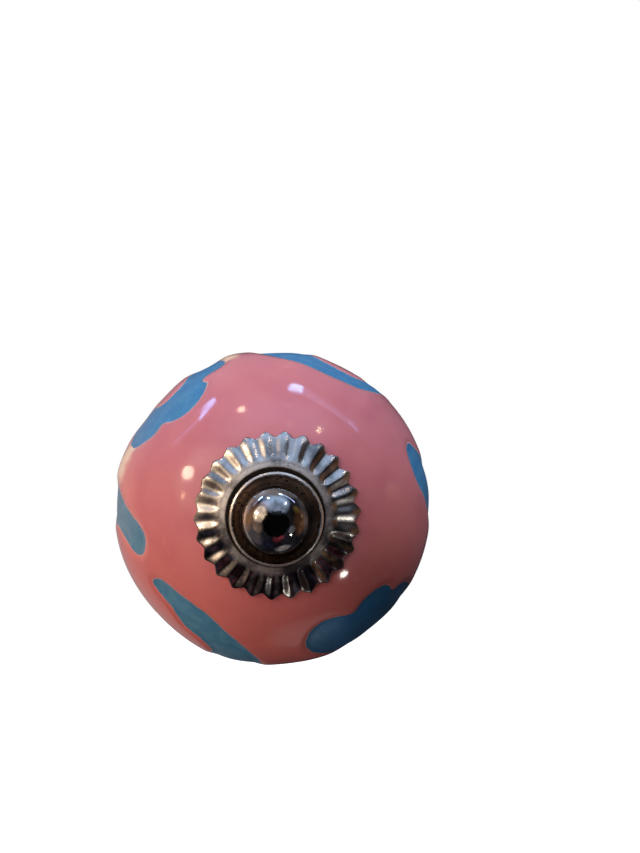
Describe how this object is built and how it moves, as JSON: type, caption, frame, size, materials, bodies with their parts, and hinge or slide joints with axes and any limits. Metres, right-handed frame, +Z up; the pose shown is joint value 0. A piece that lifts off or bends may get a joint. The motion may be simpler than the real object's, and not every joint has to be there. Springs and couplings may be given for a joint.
{
  "type": "cabinet knob",
  "caption": "Round glazed ceramic cabinet knob with carved leaf shapes, a pleated metal rosette and a domed screw, fixed from behind by a plate, washer and nut.",
  "frame": {"origin": "centre of the back plate's rear face, on the knob's axis, where it meets the drawer front", "axes": "+Z up, the knob faces -Y, and the stud runs back along +Y through the drawer front"},
  "size_m": [0.0398, 0.071, 0.0398],
  "materials": {
    "glaze": "clear gloss glaze over pink, with blue in the carved leaves and cream at their edges",
    "bright_nickel": "bright nickel plate on pressed and turned steel, lightly worn and toned brown in the hollows",
    "zinc_plate": "bright zinc plate"
  },
  "bodies": {
    "root": {"knob_body": "glaze", "rosette": "bright_nickel", "domed_screw": "bright_nickel", "back_plate": "bright_nickel", "washer": "zinc_plate", "hex_nut": "zinc_plate"}
  },
  "joints": []
}
